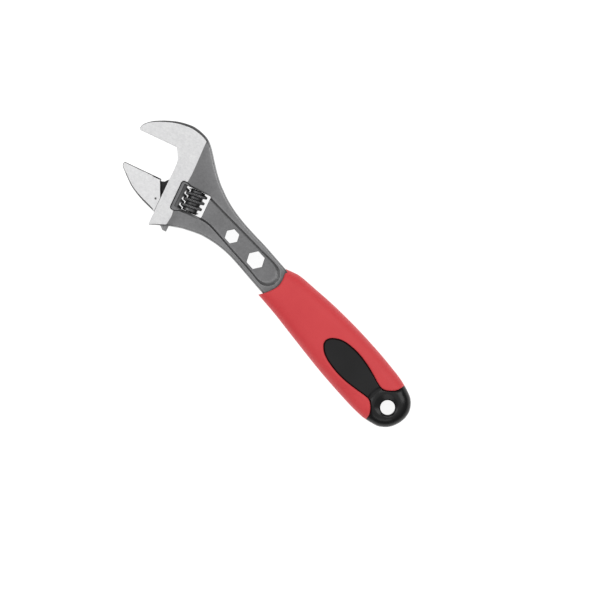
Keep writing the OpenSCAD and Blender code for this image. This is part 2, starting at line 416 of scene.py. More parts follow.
def lathe_v(name, u, prof, mats, seg=96, z0=0.0, mat=0, sharp=32.0):
    """Turned solid about the line u in the head's slide direction; prof is (v, r) from one end to the other."""
    prof = np.array(prof, float)
    verts, faces = [], []
    for v, r in prof:
        for i in range(seg):
            a = 2 * math.pi * i / seg
            verts.append((u + r * math.sin(a), v, z0 + r * math.cos(a)))
    n = len(prof)
    for j in range(n - 1):
        for i in range(seg):
            k = (i + 1) % seg
            faces.append((j * seg + i, j * seg + k, (j + 1) * seg + k, (j + 1) * seg + i))
    verts = np.array(verts)
    if prof[0][1] > 1e-6:
        faces.append(tuple(range(seg))[::-1])
    if prof[-1][1] > 1e-6:
        faces.append(tuple((n - 1) * seg + i for i in range(seg)))
    return add_mesh(name, head3(verts), faces, mats, [mat] * len(faces), sharp, merge=1e-4)


def head3(p):
    p = np.asarray(p, float)
    xy = JAW0 + p[:, :1] * JU + p[:, 1:2] * SV
    return np.column_stack([xy, p[:, 2]])


def prism(name, plan_xy, z0, z1, mats, mat=0):
    """Straight-sided solid on a plan polygon."""
    p = ccw(np.array(plan_xy, float))
    n = len(p)
    v = np.vstack([np.column_stack([p[:, :2], np.full(n, z0)]), np.column_stack([p[:, :2], np.full(n, z1)])])
    f = [tuple(range(n))[::-1], tuple(range(n, 2 * n))] + [(i, (i + 1) % n, n + (i + 1) % n, n + i) for i in range(n)]
    return add_mesh(name, v, f, mats, [mat] * len(f))


# ---------------------------------------------------------------- materials
def new_mat(name):
    m = bpy.data.materials.new(name)
    m.use_nodes = True
    nt = m.node_tree
    for nd in list(nt.nodes):
        nt.nodes.remove(nd)
    out = nt.nodes.new("ShaderNodeOutputMaterial")
    b = nt.nodes.new("ShaderNodeBsdfPrincipled")
    nt.links.new(b.outputs[0], out.inputs[0])
    tc = nt.nodes.new("ShaderNodeTexCoord")
    return m, nt, b, tc


def mapping(nt, tc, scale=(1, 1, 1), rot=0.0):
    mp = nt.nodes.new("ShaderNodeMapping")
    mp.inputs["Scale"].default_value = scale
    mp.inputs["Rotation"].default_value = (0, 0, rot)
    nt.links.new(tc.outputs["Object"], mp.inputs["Vector"])
    return mp


def noise(nt, vec, scale, detail=3.0, rough=0.55, dist_=0.0):
    n = nt.nodes.new("ShaderNodeTexNoise")
    n.inputs["Scale"].default_value = scale
    n.inputs["Detail"].default_value = detail
    n.inputs["Roughness"].default_value = rough
    n.inputs["Distortion"].default_value = dist_
    nt.links.new(vec, n.inputs["Vector"])
    return n


def remap(nt, val, a, b, lo=0.3, hi=0.7):
    r = nt.nodes.new("ShaderNodeMapRange")
    r.inputs["From Min"].default_value = lo
    r.inputs["From Max"].default_value = hi
    r.inputs["To Min"].default_value = a
    r.inputs["To Max"].default_value = b
    nt.links.new(val, r.inputs["Value"])
    return r


def mix_col(nt, fac, c1, c2):
    m = nt.nodes.new("ShaderNodeMix")
    m.data_type = "RGBA"
    for s, c in ((6, c1), (7, c2)):
        if hasattr(c, "is_output"):
            nt.links.new(c, m.inputs[s])
        else:
            m.inputs[s].default_value = (*c, 1)
    if hasattr(fac, "is_output"):
        nt.links.new(fac, m.inputs[0])
    else:
        m.inputs[0].default_value = fac
    return m.outputs[2]


def bump(nt, height, strength, distance, normal=None):
    b = nt.nodes.new("ShaderNodeBump")
    b.inputs["Strength"].default_value = strength
    b.inputs["Distance"].default_value = distance
    nt.links.new(height, b.inputs["Height"])
    if normal is not None:
        nt.links.new(normal, b.inputs["Normal"])
    return b.outputs["Normal"]


HEAD_ROT = math.atan2(JU[1], JU[0])


def satin_steel(name, dark=0.165, light=0.222, rough=(0.36, 0.47), metal=0.88):
    """Blasted and plated forging: fine grain, faint clouding, paler where the point attribute sets rubbed edges and
    painted highlights, darker where the shade attribute sets painted shade.
    """
    m, nt, b, tc = new_mat(name)
    mp = mapping(nt, tc)
    cloud = noise(nt, mp.outputs[0], 55, 4, 0.5, 0.3)
    fine = noise(nt, mp.outputs[0], 5200, 2, 0.6)
    mid = noise(nt, mp.outputs[0], 900, 3, 0.6)
    col = mix_col(nt, remap(nt, cloud.outputs["Fac"], 0, 1).outputs[0], (dark, dark, dark * 1.015), (light, light, light * 1.02))
    grit = noise(nt, mp.outputs[0], 560, 4, 0.7, 0.4)
    col = mix_col(nt, remap(nt, grit.outputs["Fac"], 0.42, 0.0, 0.3, 0.6).outputs[0], col, (dark * 0.62, dark * 0.62, dark * 0.63))
    sp = mix_col(nt, remap(nt, fine.outputs["Fac"], 0, 0.22).outputs[0], col, (light * 1.5, light * 1.5, light * 1.53))
    # Rubbed edges and painted highlights: the point attribute mixes in a pale tone.
    at = nt.nodes.new("ShaderNodeAttribute")
    at.attribute_name = "wear_and_painted_light"
    wn = nt.nodes.new("ShaderNodeMath")
    wn.operation = "MULTIPLY"
    nt.links.new(at.outputs["Fac"], wn.inputs[0])
    nt.links.new(remap(nt, mid.outputs["Fac"], 0.25, 1.0).outputs[0], wn.inputs[1])
    col = mix_col(nt, wn.outputs[0], sp, (0.42, 0.42, 0.425))
    # Painted shade: the shade attribute darkens the colour towards near black.
    sh = nt.nodes.new("ShaderNodeAttribute")
    sh.attribute_name = "shade"
    col = mix_col(nt, sh.outputs["Fac"], col, (0.022, 0.022, 0.023))
    nt.links.new(col, b.inputs["Base Color"])
    nt.links.new(remap(nt, mid.outputs["Fac"], *rough).outputs[0], b.inputs["Roughness"])
    b.inputs["Metallic"].default_value = metal
    n1 = bump(nt, mid.outputs["Fac"], 0.22, 0.00006)
    n2 = bump(nt, fine.outputs["Fac"], 0.3, 0.00002, n1)
    nt.links.new(n2, b.inputs["Normal"])
    return m


def ground_steel(name, rot, base=0.795):
    """Ground and satin-plated face: fine grinding lines, small mottling and faint scuffs."""
    m, nt, b, tc = new_mat(name)
    mp = mapping(nt, tc)
    line = nt.nodes.new("ShaderNodeMapping")
    line.inputs["Rotation"].default_value = (0, 0, rot)
    nt.links.new(tc.outputs["Object"], line.inputs["Vector"])
    st = nt.nodes.new("ShaderNodeMapping")
    st.inputs["Scale"].default_value = (0.06, 1.0, 1.0)
    nt.links.new(line.outputs[0], st.inputs["Vector"])
    lines = noise(nt, st.outputs[0], 3600, 3, 0.65)
    st2 = nt.nodes.new("ShaderNodeMapping")
    st2.inputs["Scale"].default_value = (0.3, 1.0, 1.0)
    st2.inputs["Rotation"].default_value = (0, 0, 0.9)
    nt.links.new(line.outputs[0], st2.inputs["Vector"])
    scuff = noise(nt, st2.outputs[0], 900, 4, 0.7, 0.4)
    cloud = noise(nt, mp.outputs[0], 140, 4, 0.6, 0.6)
    mott = noise(nt, mp.outputs[0], 620, 3, 0.65, 0.5)
    fine = noise(nt, mp.outputs[0], 2600, 2, 0.6)
    c = mix_col(nt, remap(nt, cloud.outputs["Fac"], 0, 1).outputs[0], (base * 0.955, base * 0.955, base * 0.965), (base * 1.03, base * 1.03, base * 1.03))
    c = mix_col(nt, remap(nt, mott.outputs["Fac"], 0.5, 0.0, 0.3, 0.62).outputs[0], c, (base * 0.72, base * 0.72, base * 0.73))
    c = mix_col(nt, remap(nt, scuff.outputs["Fac"], 0.0, 0.3, 0.5, 0.75).outputs[0], c, (base * 0.7, base * 0.7, base * 0.71))
    c = mix_col(nt, remap(nt, lines.outputs["Fac"], 0, 0.22).outputs[0], c, (base * 0.78, base * 0.78, base * 0.79))
    nt.links.new(c, b.inputs["Base Color"])
    ad = nt.nodes.new("ShaderNodeMath")
    ad.operation = "ADD"
    nt.links.new(remap(nt, mott.outputs["Fac"], 0.42, 0.5).outputs[0], ad.inputs[0])
    nt.links.new(remap(nt, fine.outputs["Fac"], 0.0, 0.05).outputs[0], ad.inputs[1])
    nt.links.new(ad.outputs[0], b.inputs["Roughness"])
    b.inputs["Metallic"].default_value = 0.95
    n1 = bump(nt, lines.outputs["Fac"], 0.15, 0.00002)
    n2 = bump(nt, mott.outputs["Fac"], 0.2, 0.00006, n1)
    nt.links.new(n2, b.inputs["Normal"])
    return m


def black_oxide(name, base=0.035, worn_and_lit_tone=0.22, rough=(0.3, 0.46)):
    """Blackened steel, paler where it rubs and where the point attribute sets a painted highlight."""
    m, nt, b, tc = new_mat(name)
    mp = mapping(nt, tc)
    cloud = noise(nt, mp.outputs[0], 420, 4, 0.6)
    fine = noise(nt, mp.outputs[0], 4200, 2, 0.6)
    # The point attribute mixes in a pale tone: rubbed crests and painted highlights.
    at = nt.nodes.new("ShaderNodeAttribute")
    at.attribute_name = "wear_and_painted_light"
    wn = nt.nodes.new("ShaderNodeMath")
    wn.operation = "MULTIPLY"
    nt.links.new(at.outputs["Fac"], wn.inputs[0])
    nt.links.new(remap(nt, cloud.outputs["Fac"], 0.3, 1.0).outputs[0], wn.inputs[1])
    col = mix_col(nt, remap(nt, cloud.outputs["Fac"], 0, 1).outputs[0], (base * 0.7, base * 0.7, base * 0.72), (base * 1.4, base * 1.4, base * 1.45))
    col = mix_col(nt, wn.outputs[0], col, (worn_and_lit_tone, worn_and_lit_tone, worn_and_lit_tone * 1.01))
    nt.links.new(col, b.inputs["Base Color"])
    nt.links.new(remap(nt, fine.outputs["Fac"], *rough).outputs[0], b.inputs["Roughness"])
    b.inputs["Metallic"].default_value = 0.75
    nt.links.new(bump(nt, fine.outputs["Fac"], 0.25, 0.00002), b.inputs["Normal"])
    return m


def plain_steel(name, base=0.5):
    m, nt, b, tc = new_mat(name)
    mp = mapping(nt, tc)
    fine = noise(nt, mp.outputs[0], 3000, 3, 0.6)
    col = mix_col(nt, remap(nt, fine.outputs["Fac"], 0, 1).outputs[0], (base * 0.9,) * 3, (base * 1.08,) * 3)
    nt.links.new(col, b.inputs["Base Color"])
    nt.links.new(remap(nt, fine.outputs["Fac"], 0.24, 0.36).outputs[0], b.inputs["Roughness"])
    b.inputs["Metallic"].default_value = 1.0
    nt.links.new(bump(nt, fine.outputs["Fac"], 0.15, 0.00002), b.inputs["Normal"])
    return m


def soft_red(name):
    """Soft-touch elastomer: fine moulded grain, faint dusting, a little darker in the grain's hollows."""
    m, nt, b, tc = new_mat(name)
    mp = mapping(nt, tc)
    cloud = noise(nt, mp.outputs[0], 38, 3, 0.5)
    grain = noise(nt, mp.outputs[0], 2300, 3, 0.55)
    vor = nt.nodes.new("ShaderNodeTexVoronoi")
    vor.inputs["Scale"].default_value = 1700
    nt.links.new(mp.outputs[0], vor.inputs["Vector"])
    col = mix_col(nt, remap(nt, cloud.outputs["Fac"], 0, 1).outputs[0], (0.66, 0.036, 0.045), (0.72, 0.05, 0.058))
    col = mix_col(nt, remap(nt, grain.outputs["Fac"], 0.0, 0.3).outputs[0], col, (0.78, 0.085, 0.092))
    nt.links.new(col, b.inputs["Base Color"])
    nt.links.new(remap(nt, grain.outputs["Fac"], 0.46, 0.58).outputs[0], b.inputs["Roughness"])
    b.inputs["Specular IOR Level"].default_value = 0.42
    b.inputs["Sheen Weight"].default_value = 0.12
    b.inputs["Sheen Roughness"].default_value = 0.4
    n1 = bump(nt, vor.outputs["Distance"], 0.22, 0.00005)
    n2 = bump(nt, grain.outputs["Fac"], 0.25, 0.00004, n1)
    nt.links.new(n2, b.inputs["Normal"])
    return m


def hard_black(name):
    """Moulded black plastic with a fine spark-eroded grain."""
    m, nt, b, tc = new_mat(name)
    mp = mapping(nt, tc)
    cloud = noise(nt, mp.outputs[0], 60, 3, 0.5)
    grain = noise(nt, mp.outputs[0], 3000, 3, 0.6)
    col = mix_col(nt, remap(nt, cloud.outputs["Fac"], 0, 1).outputs[0], (0.004, 0.004, 0.0044), (0.0075, 0.0075, 0.008))
    nt.links.new(col, b.inputs["Base Color"])
    nt.links.new(remap(nt, grain.outputs["Fac"], 0.19, 0.27).outputs[0], b.inputs["Roughness"])
    b.inputs["Specular IOR Level"].default_value = 0.3
    nt.links.new(bump(nt, grain.outputs["Fac"], 0.2, 0.00004), b.inputs["Normal"])
    return m


M_SATIN = satin_steel("forged_satin")
M_GROUND = ground_steel("ground_face", -HEAD_ROT)
M_MACH = black_oxide("bored_dark", 0.06, 0.2, (0.35, 0.5))
M_JAWGROUND = ground_steel("jaw_ground_face", -HEAD_ROT, 0.83)
M_JAWDARK = black_oxide("jaw_dark", 0.03, 0.25, (0.35, 0.5))
M_RAIL = satin_steel("rail_satin", 0.1, 0.14, (0.34, 0.44))
M_WORM = black_oxide("worm_black", 0.058, 0.24, (0.3, 0.44))
M_PIN = plain_steel("pin_turned", 0.4)
M_SPRING = plain_steel("spring_wire", 0.5)
M_RED = soft_red("soft_red")
M_BLACK = hard_black("hard_black")


# ---------------------------------------------------------------- forged body
# Rows: x, y, draft at the parting line, edge radius, 1 where machined
def hrow(rows):
    return H(rows)


low_edge = np.vstack([
    np.array([[100, -11, 0.3, 1.3, 0], [108, -11.2, 0.3, 1.3, 0], [118, -11.4, 0.3, 1.3, 0], [128, -11.6, 0.3, 1.3, 0], [138, -11.4, 0.3, 1.3, 0],
              [148, -11.5, 0.3, 1.3, 0], [158, -12.4, 0.3, 1.3, 0], [166, -14, 0.35, 1.3, 0], [171, -15.55, 0.35, 1.3, 0]], float),
    hrow([[-30, 9.2, 0.35, 1.3, 0], [-25, 3.7, 0.4, 1.3, 0], [-20.3, -2.25, 0.4, 1.3, 0], [-15.3, -8.65, 0.4, 1.3, 0], [-11.2, -12.55, 0.35, 1.5, 0], [-6.2, -14.9, 0.3, 1.8, 0],
          [0, -16.3, 0.3, 1.95, 0], [4.9, -16.1, 0.28, 1.85, 0], [8.4, -15.55, 0.25, 1.7, 0], [11.8, -14.72, 0.24, 1.5, 0], [14.7, -13.68, 0.22, 1.35, 0], [18.1, -12.32, 0.2, 1.2, 0],
          [21.5, -10.68, 0.18, 1.02, 0], [24.95, -8.7, 0.16, 0.78, 0], [27.35, -6.9, 0.15, 0.56, 0], [29.35, -4.95, 0.15, 0.45, 0], [30.33, -3.5, 0.15, 0.42, 0]]),
])
tip_edge = hrow([[30.33, -3.5, 0.15, 0.42, 0], [30.7, -2.9, 0.15, 0.4, 0], [30.85, -2.3, 0.14, 0.38, 0], [30.85, -0.5, 0.1, 0.25, 0], [30.75, -0.15, 0.03, 0.12, 1], [30.4, 0, 0.0, 0.1, 1]])
face_edge = hrow([[30.4, 0, 0, 0.1, 1], [4.8, 0, 0, 0.1, 1]])
inner_edge = hrow([[4.8, 0, 0, 0.1, 1], [3.6, 2.0, 0, 0.1, 1], [2.3, 4.2, 0, 0.1, 1], [1.15, 6.35, 0, 0.1, 1], [0.5, 8.6, 0, 0.1, 1], [0.3, 11, 0, 0.1, 1]])
front_edge = hrow([[0.3, 11, 0, 0.1, 1], [0.3, 51.7, 0, 0.1, 1], [0.05, 52, 0.02, 0.12, 1]])
end_edge = hrow([[0.05, 52, 0.02, 0.12, 1], [-0.6, 51.75, 0.1, 0.2, 0], [-3.5, 50.45, 0.25, 0.3, 0], [-6.4, 49.5, 0.3, 0.4, 0], [-9.7, 48.25, 0.3, 0.6, 0]])
top_edge = np.vstack([
    hrow([[-9.7, 48.25, 0.3, 0.6, 0], [-13.5, 47, 0.3, 0.9, 0], [-16.5, 46.2, 0.35, 1.1, 0], [-20, 45.4, 0.35, 1.2, 0], [-25, 44.6, 0.35, 1.3, 0], [-30, 44.1, 0.35, 1.3, 0]]),
    np.array([[159, 13.5, 0.35, 1.3, 0], [152, 11.4, 0.3, 1.3, 0], [145, 10, 0.3, 1.3, 0], [138, 9.35, 0.3, 1.3, 0], [130, 9.35, 0.3, 1.3, 0], [118, 9.7, 0.3, 1.3, 0],
              [108, 9.85, 0.3, 1.3, 0], [100, 9.7, 0.3, 1.3, 0]], float),
])
tang_top = np.array([[100, 9.7, 0.1, 0.5, 0], [99.4, 8.3, 0.1, 0.5, 0], [60, 8, 0.1, 0.6, 0], [30, 7.6, 0.1, 0.6, 0], [14, 8.4, 0.1, 0.6, 0]], float)
tang_eye = np.array([[9.8 * math.cos(math.radians(a)), 9.8 * math.sin(math.radians(a)), 0.1, 0.6, 0] for a in range(56, 305, 8)], float)
tang_low = np.array([[14, -9, 0.1, 0.6, 0], [30, -9, 0.1, 0.6, 0], [60, -9.4, 0.1, 0.6, 0], [99.4, -9.5, 0.1, 0.5, 0], [100, -10.8, 0.1, 0.5, 0]], float)

body_part = join(spline(low_edge), straight(tip_edge, 0.3), straight(face_edge, 0.6), spline(inner_edge, 0.4), straight(front_edge, 0.6),
                 spline(end_edge, 0.4), spline(top_edge), straight(tang_top, 1.2), tang_eye, straight(tang_low, 1.2))
body_part = ccw(body_part)
nb = normals(body_part)
body_loop = body_part.copy()
body_loop[:, :2] += nb * body_part[:, 2:3]

win_uv = [[-28.1, 19.2], [-9.8, 19.2], [-9.8, 34.2], [-28.1, 34.2]]


def round_poly(pts, r, k=5, step=0.6):
    """Polygon with rounded corners, points about step apart."""
    p = np.array(pts, float)
    out = []
    n = len(p)
    for i in range(n):
        a, b, c = p[i - 1], p[i], p[(i + 1) % n]
        ra = r[i] if isinstance(r, (list, tuple)) else r
        d1, d2 = (a - b) / np.linalg.norm(a - b), (c - b) / np.linalg.norm(c - b)
        half = math.acos(np.clip(d1 @ d2, -1, 1)) / 2
        t = ra / math.tan(half)
        q1, q2 = b + d1 * t, b + d2 * t
        for s in np.linspace(0, 1, k):
            out.append((1 - s) ** 2 * q1 + 2 * s * (1 - s) * b + s * s * q2)
    return straight(np.array(out), step, closed=True)


window = H(round_poly(win_uv, [0.9, 0.35, 0.35, 0.9], 4, 0.5))


def hexagon(cx, cy, af, r=0.35):
    R = af / 2 / math.cos(math.radians(30))
    return round_poly([[cx + R * math.cos(math.radians(60 * k)), cy + R * math.sin(math.radians(60 * k))] for k in range(6)], r, 4, 0.5)


hex_s = hexagon(146.4, -0.1, 8.2)
hex_l = hexagon(125.2, -1.0, 10.2)
eye = np.array([[7.0 * math.cos(a), 7.0 * math.sin(a)] for a in np.linspace(0, 2 * math.pi, 49)[:-1]])

panel = join(spline(np.array([[108, -6.2], [110.5, -8], [114, -8.6], [120, -8.6], [128, -8.2], [136, -7.9], [145, -7.6], [155, -7.2], [165, -6.9], [175, -6.7]]), 0.5),
             straight(np.array([[175, -6.7], [175, 8.4]]), 1.0),
             spline(np.array([[175, 8.4], [169, 8], [163, 6.4], [158, 6], [150, 6.1], [140, 6.3], [130, 6.4], [120, 6.7], [114, 7], [110.5, 6.3], [108, 4.6], [106.2, 1.4], [106, -2], [106.6, -4.4], [108, -6.2]]), 0.5))
panel = ccw(panel)
pocket_uv = [[-40, 18.3], [-14, 18.3], [-11, 17.4], [-7.3, 17.2], [-7.3, 37.5], [-11, 37.3], [-14, 36], [-40, 35.6]]
pocket = ccw(H(round_poly(pocket_uv, [0.5, 1.2, 1.5, 2.3, 2.3, 1.5, 1.2, 0.5], 6, 0.45)))

# Rear limit of the ground faces, u as a function of v
GB_V = np.array([-14, -10.5, -5, 0, 6, 12, 16.8, 18, 36.6, 38.2, 40, 42, 46.5, 49])
GB_U = np.array([-11.2, -10.8, -10.9, -11.05, -11.2, -11.3, -10.9, -10.6, -10.0, -10.4, -10.75, -10.8, -10.2, -9.7])


def ground_u(v):
    return np.interp(v, GB_V, GB_U)


gb1 = H(np.array([[ground_u(v), v] for v in np.arange(-13.2, 17.6, 0.6)]))
gb2 = H(np.array([[ground_u(v), v] for v in np.arange(36.9, 48.6, 0.6)]))
GB_DENSE = H(np.array([[ground_u(v), v] for v in np.arange(-16, 52, 0.8)]))


def body_base(p):
    """Half thickness of the forging before edges, pocket and panel."""
    u, v = to_head(p)
    behind = ground_u(v) - u
    s = np.clip(behind / 36.0, 0, 1)
    z = ST + (HT - ST) * (1 - s) ** 1.75
    x = p[:, 0]
    return z + (3.0 - z) * smooth01((101.5 - x) / 1.6)


def rim_weight(u, v):
    """1 round the unground rim of the head, 0 along the shank."""
    return smooth01((u + 15) / 4.0) * (((v < 3) | (v > 45)) & (u > -15))


def body_z(p):
    base = body_base(p)
    d, e, _ = dist(p, body_loop)
    R = np.maximum(e[:, 1], 0.05)
    t = np.clip(R - d, 0, R)
    u, v = to_head(p)
    g = rim_weight(u, v)
    z = base - (1 - g) * (R - np.sqrt(np.maximum(R * R - t * t, 0))) - g * 0.85 * R * (t / R) ** 1.5
    # Pocket around the worm
    dk, _, _ = sdist(p, pocket)
    c = 0.10 * smooth01((base - 6.15) / 0.3)
    zp = 6.1 + np.maximum(base - c - 6.1, 0) * (1 - np.clip(dk / 0.75, 0, 1)) ** 1.8
    z = np.where(dk > 0, np.minimum(z, zp), z - c * np.clip(1 + dk / 0.3, 0, 1) ** 2)
    # Panel of the shank
    dp, _, _ = sdist(p, panel)
    w = 1.6 + 2.4 * smooth01((116 - p[:, 0]) / 8)
    floor = 2.9
    c = 0.12 * smooth01((p[:, 0] - 103.5) / 1.5)
    zq = floor + (base - c - floor) * (1 - np.clip(dp / w, 0, 1)) ** 2.1
    z = np.where(dp > 0, np.minimum(z, zq), z - c * np.clip(1 + dp / 0.45, 0, 1) ** 2)
    for hl, c in ((window, 0.3), (hex_s, 0.18), (hex_l, 0.18)):
        dh, _, _ = dist(p, hl)
        z = z - np.clip(c - dh, 0, c)
    return z


def body_mat(c, wall):
    p = c[:, :2]
    u, v = to_head(p)
    d, e, _ = dist(p, body_loop)
    ids = np.zeros(len(c), int)
    dk, _, _ = sdist(p, pocket)
    top = (~wall) & (u > ground_u(v)) & (dk < 0) & (d > e[:, 1] * np.where(e[:, 1] > 0.25, 0.8, 0.0))
    mach = (e[:, 2] > 0.5) & (d < 0.6) & (u > -9)
    ids[top | (mach & (np.abs(c[:, 2]) > 0))] = 1
    dw, _, _ = dist(p, window)
    ids[wall & (dw < 0.05)] = 0
    return ids


off = [0.12, 0.32, 0.6, 1.0]
prof = [body_loop[:, 3] * f for f in (0.04, 0.14, 0.3, 0.52, 1.0)] + [body_loop[:, 3] + g for g in (0.15, 0.4)]
rim_runs = offset_runs(body_loop, 0.8)
ring_pts = np.vstack([
    rings(body_loop, [0] * 7, 1.0, 0.05, per_point=prof),
    rings(panel, [0.08, 0.2, 0.35, 0.52, 0.75, 1.0, 1.35, 2.0, 2.8], 1.0),
    rings(panel, [0.15, 0.3, 0.45], -1.0),
    rings(pocket, [0.12, 0.26, 0.42, 0.6, 0.75], 1.0),
    rings(pocket, [0.15, 0.3], -1.0),
    rings(ccw(window), [0.3], -1.0),
    rings(ccw(hex_s), [0.18], -1.0),
    rings(ccw(hex_l), [0.18], -1.0),
])
okr = inside(ring_pts, body_loop)
for hl in (window, hex_s, hex_l, eye):
    okr &= ~inside(ring_pts, hl)
ring_pts = ring_pts[okr]
panel_feat = panel[(panel[:, 0] < 174.5)]
start = int(np.argmax(np.linalg.norm(np.roll(panel_feat, -1, 0) - panel_feat, axis=1))) + 1
panel_feat = np.roll(panel_feat, -start, 0)
pk_u, _ = to_head(pocket[:, :2])
pocket_feat = pocket[pk_u > -27.0]
start = int(np.argmax(np.linalg.norm(np.roll(pocket_feat, -1, 0) - pocket_feat, axis=1))) + 1
pocket_feat = np.roll(pocket_feat, -start, 0)

body = relief("forged_body", (body_loop, body_part), [(window, window), (hex_s, hex_s), (hex_l, hex_l), (eye, eye)],
              [(panel_feat, False), (pocket_feat, False), (gb1, False), (gb2, False)] + [(r, False) for r in rim_runs], ring_pts, body_z, [M_SATIN, M_GROUND, M_MACH], body_mat, grid=1.05)

# Rail channel, web slot, pin bore and seat
body = boolean(body, lathe_v("cut1", RAIL_U, [(-6.9, 0.0), (-6.2, RAIL_R + 0.25), (60, RAIL_R + 0.25), (60, 0)], [M_SATIN, M_GROUND, M_MACH], 72, mat=2))
slot_uv = [[RAIL_U, -6.0], [-3.8, -5.6], [1, -3], [1.7, -2.4], [2.4, -1.5], [3.1, -0.5], [3.7, 0.05], [12, 0.05], [12, 64], [RAIL_U, 64]]
body = boolean(body, prism("cut2", H(slot_uv), -2.75, 2.75, [M_SATIN, M_GROUND, M_MACH], 2))
body = boolean(body, lathe_v("cut3", WORM_U, [(11.2, 0), (11.5, 2.06), (41.6, 2.06), (41.6, 3.2), (60, 3.2), (60, 0)], [M_SATIN, M_GROUND, M_MACH], 48, mat=2))
finish_shading(body, 32)


def set_point(ob, key, fn):
    """Stores a 0..1 value on each point."""
    me = ob.data
    co = np.zeros(len(me.vertices) * 3)
    me.vertices.foreach_get("co", co)
    p = co.reshape(-1, 3) * 1000.0 - ORIGIN
    at = me.attributes.get(key) or me.attributes.new(key, "FLOAT", "POINT")
    at.data.foreach_set("value", np.clip(fn(p), 0, 1).astype(np.float32))


def body_painted_highlight(p):
    d, e, _ = dist(p[:, :2], body_loop)
    dp, _, _ = sdist(p[:, :2], panel)
    top = np.abs(p[:, 2]) > 3.0
    u, v = to_head(p[:, :2])
    shank = top * (u < -14)
    # Painted highlight: a paler band along the rounded edges of the shank, and a faint broad one near its outline
    # outside the panel.
    w = 0.62 * np.exp(-((d - e[:, 1] * 0.7) / 0.75) ** 2) * (e[:, 1] > 1.0) * shank
    w = np.maximum(w, 0.16 * np.exp(-((d / 5.0) ** 2)) * (dp < 0) * shank)
    # Painted highlight on the rim just outside the panel's line, stronger on the y<0 side.
    rim = np.where(p[:, 1] < 0, 0.42, 0.22)
    w = np.maximum(w, rim * np.exp(-((dp + 0.35) / 0.5) ** 2) * (1 - smooth01((dp + 0.05) / 0.25)) * top * (p[:, 0] < 172))
    # Painted highlight: the step's slope is painted paler, much more on the y<0 side.
    slope = np.where(p[:, 1] < 0, 1.35, 0.5 * (1 - smooth01((p[:, 0] - 142) / 10)))
    w = np.maximum(w, slope * np.exp(-(((dp - 0.5) / 0.55) ** 2)) * (dp > 0) * (p[:, 0] < 172) * (np.abs(p[:, 2]) > 2.5))
    return w * (p[:, 0] > 103)


front = spline(np.array([[107.9, 12.5], [106.9, 10.6], [105.5, 7.6], [104.2, 4], [103.4, 0], [104, -4], [105.6, -7.6], [108, -11.4]]), 0.6)
FRONT_Y = front[::-1, 1]
FRONT_X = front[::-1, 0]


def body_shade(p):
    """Painted shade: the unground walls of the head (darker also for their unground finish), the foot of each step, the
    ledges at the worm's window and the shank beside the cover's mouth.
    """
    u, v = to_head(p[:, :2])
    d, e, _ = dist(p[:, :2], body_loop)
    ins = inside(p[:, :2], body_loop)
    dk, _, _ = sdist(p[:, :2], pocket)
    dp, _, _ = sdist(p[:, :2], panel)
    outer = ((v < 3) | (v > 45)) & (e[:, 2] < 0.5) & (e[:, 0] > 0.05) & (u > -13)
    # Painted shade on the unground walls round the head, standing partly for their darker unground finish.
    w = 0.42 * outer * smooth01((u + 13) / 2.5) * (1 - smooth01((np.where(ins, d, -d) - 0.8 * e[:, 1]) / (0.4 * e[:, 1] + 0.05)))
    # Painted shade at the foot of the pocket's wall.
    w = np.maximum(w, 0.62 * np.exp(-(((dk - 0.28) / 0.3) ** 2)) * (np.abs(p[:, 2]) > 5.5) * (u > -26))
    # Shadowed ledges at both ends of the worm's window
    top = np.abs(p[:, 2]) > 5.0
    end1 = np.interp(u, [-29, -28, -24.5, -23, -21, -18, -15, -13.5, -12, -10.5], [0, 0.3, 0.3, 0.6, 0.8, 0.9, 0.95, 0.65, 0.5, 0])
    w = np.maximum(w, end1 * smooth01((0.85 - np.abs(v - 34.95)) / 0.35) * top)
    end0 = np.interp(u, [-25, -23, -20, -16, -14, -12], [0, 0.3, 0.7, 0.6, 0.3, 0])
    w = np.maximum(w, end0 * np.exp(-(((v - 19.15) / 0.32) ** 2)) * top)
    # Painted shade at the foot of the panel's step, only on the y>0 side and growing towards the head.
    step = np.where(p[:, 1] < 0, 0.0, 0.03 + 0.25 * smooth01((p[:, 0] - 144) / 12))
    w = np.maximum(w, step * np.exp(-(((dp - 0.55) / 0.5) ** 2)) * (np.abs(p[:, 2]) > 2.5) * (p[:, 0] > 105))
    # Painted contact shadow where the cover's mouth meets the shank, with a faint broader painted shade beside it
    df, _, _ = dist(p[:, :2], front, closed=False)
    near = np.where(p[:, 0] > np.interp(p[:, 1], FRONT_Y, FRONT_X), df, 0.0)
    w = np.maximum(w, 0.75 * np.exp(-((near / 0.55) ** 2)) * (p[:, 0] > 100))
    w = np.maximum(w, 0.22 * np.exp(-((near / 3.2) ** 2)) * (p[:, 0] > 100))
    return w


set_point(body, "wear_and_painted_light", body_painted_highlight)
set_point(body, "shade", body_shade)
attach(body, "frame")
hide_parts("body")


# ---------------------------------------------------------------- moving jaw
def J(rows):
    r = np.array(rows, float)
    r[:, 1] += OPEN
    return H(r)


